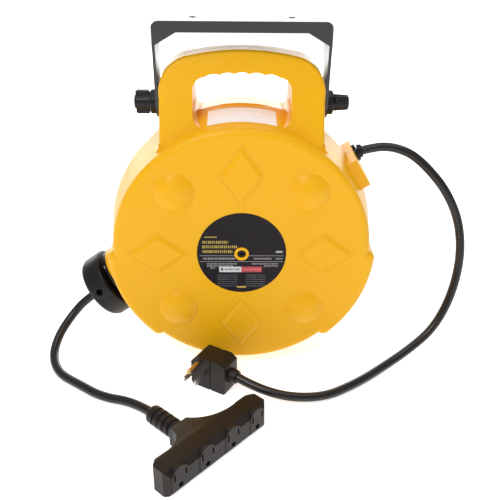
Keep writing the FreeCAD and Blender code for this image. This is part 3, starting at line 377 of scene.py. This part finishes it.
def paper():
    """A white paper label with a few faint printed rules."""
    f = Finish("paper_label")
    x, y, _ = f.axes(f.stretched((MILLIMETRES,) * 3))
    rules = total(
        y.within(level, *RULE_THICK) * x.within(*RULE_SPAN) for level in RULE_LEVELS)
    broken = f.noise(scale=420.0) > 0.47
    tone = f.colour(f.noise(scale=30.0), (0.93, 0.93, 0.95), (0.96, 0.96, 0.97))
    tone = f.colour(rules * broken * 0.28, tone, (0.42, 0.46, 0.55))
    weave = f.noise(scale=1200.0, detail=3.0)
    return f.done(
        base_color=tone, roughness=f.between(weave, low=0.45, high=0.6),
        normal=f.bump(weave, depth=0.00002, strength=0.3))


def floor_white():
    """A pale matt floor that gives a little light of its own."""
    f = Finish("floor_white")
    tone = f.colour(f.noise(scale=3.0), (0.9, 0.9, 0.9), (0.92, 0.92, 0.92))
    return f.done(
        base_color=tone, roughness=0.75, emission_color=(1.0, 1.0, 1.0), emission_strength=0.64)


# ---- making pieces ----------------------------------------------------------------------------

def linked(name, mesh):
    """A new object for a mesh or curve, in the scene at the origin."""
    piece = bpy.data.objects.new(name, mesh)
    bpy.context.scene.collection.objects.link(piece)
    return piece


def settle(piece, body, slot, material, *nodes):
    """Gives a finished piece its finish, its body and the CAD parts it stands for; the slot it is
    handed is not used.
    """
    if piece.type == "MESH":
        piece.data.materials.clear()
    piece.data.materials.append(material)
    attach(piece, body)
    if nodes:
        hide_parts(*nodes)
    return piece


def plain_mesh(piece):
    """Turns a piece and its modifiers into a plain mesh."""
    bpy.context.view_layer.update()
    seen = piece.evaluated_get(bpy.context.evaluated_depsgraph_get())
    mesh = bpy.data.meshes.new_from_object(seen)
    piece.modifiers.clear()
    piece.data = mesh
    return piece


def auto_smooth(mesh):
    """Shades a mesh smooth and keeps its steep edges sharp."""
    mesh.shade_smooth()
    mesh.set_sharp_from_angle(angle=math.radians(SMOOTH_ANGLE))


MERGE_GAP = 2e-6            # metres; corners nearer than this are one
FLAT_ANGLE = 0.6            # degrees; faces closer in angle than this are one flat
EASED_ANGLE = 34.0          # degrees; a steeper edge is rounded
EASED_STEPS = 2


def merged(node):
    """A copy of a CAD part's mesh with its loose triangles joined and its flats made whole."""
    mesh = frame["nodes"][node].data.copy()
    work = bmesh.new()
    work.from_mesh(mesh)
    bmesh.ops.remove_doubles(work, verts=work.verts, dist=MERGE_GAP)
    bmesh.ops.dissolve_limit(
        work, angle_limit=math.radians(FLAT_ANGLE), verts=work.verts, edges=work.edges)
    work.to_mesh(mesh)
    work.free()
    return mesh


def softened(name, node, width, body, slot, material):
    """A CAD part again, its sharp edges rounded as moulding or bending leaves them."""
    piece = linked(name, merged(node))
    bevel = piece.modifiers.new("edges", "BEVEL")
    bevel.width = width
    bevel.segments = EASED_STEPS
    bevel.limit_method = "ANGLE"
    bevel.angle_limit = math.radians(EASED_ANGLE)
    bevel.use_clamp_overlap = True
    plain_mesh(piece)
    auto_smooth(piece.data)
    even = piece.modifiers.new("even", "WEIGHTED_NORMAL")
    even.keep_sharp = True
    even.weight = 100
    plain_mesh(piece)
    return settle(piece, body, slot, material, node)


def from_bmesh(name, work):
    """A piece from a bmesh, which is freed."""
    mesh = bpy.data.meshes.new(name)
    work.to_mesh(mesh)
    work.free()
    auto_smooth(mesh)
    return linked(name, mesh)


# ---- repeated pieces with Geometry Nodes ------------------------------------------------------

class Tree:
    """A geometry node tree with named inputs, run once on a piece."""

    def __init__(self, name):
        self.group = bpy.data.node_groups.new(name, "GeometryNodeTree")
        self.face = self.group.interface
        self.face.new_socket("Geometry", in_out="INPUT", socket_type="NodeSocketGeometry")
        self.face.new_socket("Geometry", in_out="OUTPUT", socket_type="NodeSocketGeometry")
        self.start = self.group.nodes.new("NodeGroupInput")
        self.end = self.group.nodes.new("NodeGroupOutput")
        self.given = {}

    def asks(self, name, kind, value):
        """A named input of the tree and the value it is given."""
        socket = self.face.new_socket(name, in_out="INPUT", socket_type=kind)
        self.given[socket.identifier] = value
        return self.start.outputs[name]

    def add(self, kind, settings, sockets):
        """Adds a node, sets it up and feeds its sockets."""
        node = self.group.nodes.new(kind)
        for key, value in settings.items():
            setattr(node, key, value)
        for key, value in sockets.items():
            if isinstance(value, bpy.types.NodeSocket):
                self.group.links.new(value, node.inputs[key])
            else:
                node.inputs[key].default_value = value
        return node

    def run(self, piece, result, material):
        """Ends the tree in real geometry with its material, and makes the piece a plain mesh."""
        real = self.add("GeometryNodeRealizeInstances", {}, {0: result})
        coated = self.add(
            "GeometryNodeSetMaterial", {}, {"Geometry": real.outputs[0], "Material": material})
        self.group.links.new(coated.outputs[0], self.end.inputs[0])
        modifier = piece.modifiers.new("repeat", "NODES")
        modifier.node_group = self.group
        for identifier, value in self.given.items():
            modifier[identifier] = value
        return plain_mesh(piece)


def repeated(name, spots, turns, shape, material):
    """Copies of one small shape at a list of spots, each turned by its own Euler angles."""
    mesh = bpy.data.meshes.new(name)
    mesh.from_pydata([tuple(spot) for spot in spots], [], [])
    store = mesh.attributes.new("turn", "FLOAT_VECTOR", "POINT")
    for item, turn in zip(store.data, turns):
        item.vector = turn
    piece = linked(name, mesh)
    tree = Tree(name + "_tree")
    size = tree.asks("Size", "NodeSocketFloat", 1.0)
    small = tree.asks("Shape", "NodeSocketObject", shape)
    info = tree.add("GeometryNodeObjectInfo", {"transform_space": "ORIGINAL"}, {"Object": small})
    turn = tree.add(
        "GeometryNodeInputNamedAttribute", {"data_type": "FLOAT_VECTOR"}, {"Name": "turn"})
    spread = tree.add("GeometryNodeInstanceOnPoints", {}, {
        "Points": tree.start.outputs[0], "Instance": info.outputs["Geometry"],
        "Rotation": turn.outputs[0], "Scale": size,
    })
    tree.run(piece, spread.outputs[0], material)
    bpy.data.objects.remove(shape)
    auto_smooth(piece.data)
    return piece


# ---- the settings a user can change -----------------------------------------------------------

class ReelLooks(bpy.types.PropertyGroup):
    """Colours and edges of the mouldings"""

    housing: bpy.props.FloatVectorProperty(
        name="Housing", description="Colour of the two moulded shells", subtype="COLOR",
        size=3, min=0.0, max=1.0, default=(0.87, 0.455, 0.004))
    rubber: bpy.props.FloatVectorProperty(
        name="Rubber", description="Colour of the bumper and the mouldings on the cords",
        subtype="COLOR", size=3, min=0.0, max=1.0, default=(0.011, 0.0085, 0.008))
    edge: bpy.props.FloatProperty(
        name="Edge rounding", description="One millimetre here rounds each part by its own amount",
        unit="LENGTH", min=0.0001, max=0.002, default=0.001)


class ReelCords(bpy.types.PropertyGroup):
    """Thickness and fineness of the cords"""

    radius: bpy.props.FloatProperty(
        name="Cord radius", description="Radius of both cords' round jackets",
        unit="LENGTH", min=0.002, max=0.01, default=0.0046)
    sides: bpy.props.IntProperty(
        name="Roundness", description="How finely each jacket is rounded",
        min=3, max=12, default=6)


class ReelStage(bpy.types.PropertyGroup):
    """Lens and floor of the stage"""

    lens: bpy.props.FloatProperty(
        name="Lens", description="Focal length of the camera in millimetres",
        min=20.0, max=200.0, default=50.4)
    floor: bpy.props.FloatProperty(
        name="Floor", description="Width of the pale floor",
        unit="LENGTH", min=1.0, max=20.0, default=9.0)


# ---- cords ------------------------------------------------------------------------------------

CORD_STEPS = 10             # of the curve between two points of a route

OUTPUT_ROUTE = (
    (-0.13211, 0.0, 0.074599), (-0.168921, 0.0, 0.047854), (-0.1867, -0.009, 0.0297),
    (-0.1985, -0.0292, 0.016), (-0.1992, -0.0551, 0.0079), (-0.1874, -0.0792, 0.0047),
    (-0.1642, -0.0959, 0.0048), (-0.1376, -0.1157, 0.0047), (-0.103708, -0.126712, 0.0072),
    (-0.084786, -0.144543, 0.0093),
)
LEAD_ROUTE = (
    (0.118303, 0.017, 0.212141), (0.129406, 0.017, 0.215325), (0.1442, 0.0156, 0.2183),
    (0.159, 0.0128, 0.2171), (0.1749, 0.0083, 0.2111), (0.1918, 0.0014, 0.1968),
    (0.2087, -0.0039, 0.1775), (0.2239, -0.0066, 0.1493), (0.2298, -0.0135, 0.1198),
    (0.229, -0.0197, 0.0899), (0.221, -0.028, 0.058), (0.2049, -0.0378, 0.0303),
    (0.1803, -0.049, 0.0134), (0.15, -0.068, 0.0047), (0.1159, -0.0966, 0.0047),
    (0.0765, -0.1211, 0.0059), (0.025645, -0.120432, 0.011), (-0.003499, -0.102921, 0.018),
)


def cord_line(name, route, radius, sides):
    """A smooth round cord whose control points are the points of its route."""
    curve = bpy.data.curves.new(name, "CURVE")
    curve.dimensions = "3D"
    spline = curve.splines.new("NURBS")
    spline.points.add(len(route) - 1)
    for point, place in zip(spline.points, route):
        point.co = (*place, 1.0)
    spline.order_u = 3
    spline.use_endpoint_u = True
    spline.resolution_u = CORD_STEPS
    curve.bevel_depth = radius
    curve.bevel_resolution = sides
    curve.use_fill_caps = True
    return linked(name, curve)


class CORDREEL_OT_cords(bpy.types.Operator):
    """Lays the output cord and the lead along their routes"""

    bl_idname = "cordreel.cords"
    bl_label = "Cords"
    bl_options = {"REGISTER", "UNDO"}

    def execute(self, context):
        given = context.scene.reel_cords
        material = jacket()
        cords = (
            ("output_cord_line", OUTPUT_ROUTE, "output_cord", 0.274, "connector",
             ["cord_stop_front_eased", "cord_stop_rear_eased", "cord_stop_screws",
              "tap_body_eased", "tap_contacts"]),
            ("lead_cord_line", LEAD_ROUTE, "lead_cord", 0.511, "plug",
             ["plug_body_eased", "plug_blades_eased", "plug_ground_pin"]),
        )
        for name, route, node, length, end, carried in cords:
            piece = cord_line(name, route, given.radius, given.sides)
            settle(piece, "housing", "cord_black", material, node)
        return {"FINISHED"}


# ---- the CAD parts that keep their shape ------------------------------------------------------

class CORDREEL_OT_housing(bpy.types.Operator):
    """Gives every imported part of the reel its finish"""

    bl_idname = "cordreel.housing"
    bl_label = "Housing and works"
    bl_options = {"REGISTER", "UNDO"}

    def execute(self, context):
        given = context.scene.reel_looks
        rubber = tuple(given.rubber)
        round_y, along_z = (60.0, 1400.0, 60.0), (900.0, 900.0, 90.0)
        finishes = {
            "housing_yellow": housing_yellow(tuple(given.housing)),
            "cord_black": moulded("wound_cord", (0.014, 0.013, 0.013), (0.02, 0.019, 0.018), 0.4),
            "black_steel": bare_metal("blackened_steel", (0.035, 0.034, 0.034), 0.4, along_z),
            "moulded_black": moulded("outlet_rubber", rubber, (0.018, 0.011, 0.008), 0.42),
            "bumper_black": moulded(
                "bumper_rubber", (0.005, 0.0045, 0.006), (0.009, 0.008, 0.009), 0.4),
            "bracket_paint": bracket_paint(),
            "knob_black": moulded(
                "knob_plastic", (0.006, 0.006, 0.007), (0.011, 0.009, 0.009), 0.36),
            "steel": bare_metal("bright_steel", (0.62, 0.62, 0.63), 0.3, round_y),
            "spring_steel": bare_metal("blued_steel", (0.24, 0.27, 0.34), 0.34, round_y),
            "brass": bare_metal("brass", (0.78, 0.52, 0.2), 0.28, along_z),
            "nylon": nylon(),
            "spool_grey": moulded("spool_plastic", (0.16, 0.16, 0.17), (0.2, 0.2, 0.21), 0.45),
            "label_black": printed_label(),
            "sticker_white": paper(),
        }
        for row in frame["record"]["subparts"]:
            mesh = frame["nodes"][row["node"]].data
            mesh.materials.clear()
            mesh.materials.append(finishes[row["material_slot"]])
        return {"FINISHED"}


# ---- mouldings and metalwork with their edges eased -------------------------------------------

# CAD part: (body, how far its sharp edges are rounded, in parts of the edge rounding setting)
EASED = {
    "front_shell": ("housing", 0.8), "rear_shell": ("housing", 0.8),
    "tap_body": ("housing", 1.1), "plug_body": ("housing", 1.3), "lead_grommet": ("housing", 0.6),
    "cord_stop_front": ("housing", 0.6), "cord_stop_rear": ("housing", 0.6),
    "guide_collar": ("housing", 0.5), "plug_blades": ("housing", 0.3),
    "pivot_bolts": ("housing", 0.4), "housing_screws": ("housing", 0.3),
    "bracket": ("bracket", 0.7), "knob_left": ("knob_left", 0.6),
    "knob_right": ("knob_right", 0.6),
}


class CORDREEL_OT_mouldings(bpy.types.Operator):
    """Rounds the sharp edges of the mouldings and the metalwork"""

    bl_idname = "cordreel.mouldings"
    bl_label = "Mouldings"
    bl_options = {"REGISTER", "UNDO"}

    def execute(self, context):
        scale = context.scene.reel_looks.edge
        slots = {row["node"]: row["material_slot"] for row in frame["record"]["subparts"]}
        for node, (body, width) in EASED.items():
            material = frame["nodes"][node].data.materials[0]
            softened(node + "_eased", node, width * scale, body, slots[node], material)
        return {"FINISHED"}


SCREW_ANGLES = (18, 62, 118, 162, 248, 292)     # degrees round the hub, from the right
SCREW_RING = 0.1105         # radius of the circle that the screws stand on
SCREW_STEP = 35             # degrees that each recess is turned beyond the last
RECESS_BARS = ((0.0046, 0.0004, 0.0009), (0.0009, 0.0004, 0.0046))
RECESS_EDGE = 0.00012


class CORDREEL_OT_screws(bpy.types.Operator):
    """Puts a cross recess in the head of every housing screw"""

    bl_idname = "cordreel.screws"
    bl_label = "Screw recesses"
    bl_options = {"REGISTER", "UNDO"}

    def execute(self, context):
        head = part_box("housing_screws")[1][1]
        work = bmesh.new()
        for size in RECESS_BARS:
            bar = bmesh.ops.create_cube(work, size=1.0)["verts"]
            bmesh.ops.scale(work, vec=size, verts=bar)
        bmesh.ops.bevel(
            work, geom=work.edges[:], offset=RECESS_EDGE, segments=1, affect="EDGES")
        cross = from_bmesh("recess_shape", work)
        material = frame["nodes"]["axle_screws"].data.materials[0]
        angles = [math.radians(degrees) for degrees in SCREW_ANGLES]
        spots = [
            (math.cos(angle) * SCREW_RING, head, HUB_HEIGHT + math.sin(angle) * SCREW_RING)
            for angle in angles
        ]
        turns = [(0.0, math.radians(SCREW_STEP * i), 0.0) for i in range(len(spots))]
        piece = repeated("screw_recesses", spots, turns, cross, material)
        settle(piece, "housing", "black_steel", material)
        return {"FINISHED"}


# ---- stage ------------------------------------------------------------------------------------

# Where the camera stands, the way it looks and its right-hand side
CAMERA = Vector((-0.00444, -0.65892, 0.45761))
AHEAD = Vector((0.01849, 0.88275, -0.46947))
RIGHT = Vector((0.99983, -0.01578, 0.00971))
SENSOR_WIDTH = 36.0         # mm
CLIP = (0.01, 50.0)
WORLD_LIGHT = 0.4
# Soft lights: name, place, what it points at, width, height, watts
SOFTBOXES = (
    ("overhead", (0.0, 0.0, 1.6), (0.0, 0.0, 0.1), 1.6, 1.2, 9.0),
    ("back_wall", (0.0, 1.5, 0.42), (0.0, 0.0, 0.3), 3.0, 0.7, 27.0),
    ("front_key", (-0.7, -1.3, 1.7), (0.0, 0.0, 0.12), 0.7, 0.5, 13.0),
)


def softbox(name, place, target, width, height, watts):
    """A white rectangular light that the camera doesn't see."""
    lamp = bpy.data.lights.new(name, "AREA")
    lamp.shape = "RECTANGLE"
    lamp.size = width
    lamp.size_y = height
    lamp.energy = watts
    piece = linked(name, lamp)
    towards = Vector(target) - Vector(place)
    piece.location = place
    piece.rotation_euler = towards.to_track_quat("-Z", "Y").to_euler()
    piece.visible_camera = False


class CORDREEL_OT_stage(bpy.types.Operator):
    """Sets up the camera, the soft lights and the pale floor"""

    bl_idname = "cordreel.stage"
    bl_label = "Stage"
    bl_options = {"REGISTER", "UNDO"}

    def execute(self, context):
        given = context.scene.reel_stage
        scene = context.scene
        camera = bpy.data.cameras.new("camera")
        camera.sensor_width = SENSOR_WIDTH
        camera.lens = given.lens
        camera.clip_start, camera.clip_end = CLIP
        eye = linked("camera", camera)
        ahead = AHEAD.normalized()
        right = RIGHT.normalized()
        up = right.cross(ahead)
        turn = Matrix((right, up, -ahead)).transposed().to_4x4()
        eye.matrix_world = Matrix.Translation(CAMERA) @ turn
        scene.camera = eye

        world = scene.world or bpy.data.worlds.new("world")
        scene.world = world
        world.use_nodes = True
        background = world.node_tree.nodes["Background"]
        background.inputs["Color"].default_value = (1.0, 1.0, 1.0, 1.0)
        background.inputs["Strength"].default_value = WORLD_LIGHT
        scene.view_settings.view_transform = "Standard"
        scene.view_settings.look = "None"

        half = given.floor / 2
        mesh = bpy.data.meshes.new("floor")
        corners = [(-half, -half, 0), (half, -half, 0), (half, half, 0), (-half, half, 0)]
        mesh.from_pydata(corners, [], [(0, 1, 2, 3)])
        floor = linked("floor", mesh)
        mesh.materials.append(floor_white())
        for light in SOFTBOXES:
            softbox(*light)
        return {"FINISHED"}


# ---- the panel and the run --------------------------------------------------------------------

ORDER = ("housing", "mouldings", "screws", "cords", "stage")


class CORDREEL_PT_panel(bpy.types.Panel):
    """Lists the reel's settings and operators"""

    bl_idname = "CORDREEL_PT_panel"
    bl_label = "Cord Reel"
    bl_space_type = "VIEW_3D"
    bl_region_type = "UI"
    bl_category = "Cord Reel"

    def draw(self, context):
        column = self.layout.column()
        for title, group in GROUPS.items():
            for name in group.__annotations__:
                column.prop(getattr(context.scene, title), name)
        for name in ORDER:
            column.operator("cordreel." + name)


GROUPS = {"reel_looks": ReelLooks, "reel_cords": ReelCords, "reel_stage": ReelStage}
CLASSES = (
    *GROUPS.values(), CORDREEL_OT_housing, CORDREEL_OT_mouldings, CORDREEL_OT_screws,
    CORDREEL_OT_cords, CORDREEL_OT_stage, CORDREEL_PT_panel,
)


def register():
    for item in CLASSES:
        bpy.utils.register_class(item)
    for name, group in GROUPS.items():
        setattr(bpy.types.Scene, name, bpy.props.PointerProperty(type=group))


def unregister():
    for name in GROUPS:
        delattr(bpy.types.Scene, name)
    for item in reversed(CLASSES):
        bpy.utils.unregister_class(item)


def main():
    """Makes every piece in order."""
    register()
    for name in ORDER:
        getattr(bpy.ops.cordreel, name)()


if __name__ == "__main__":
    main()
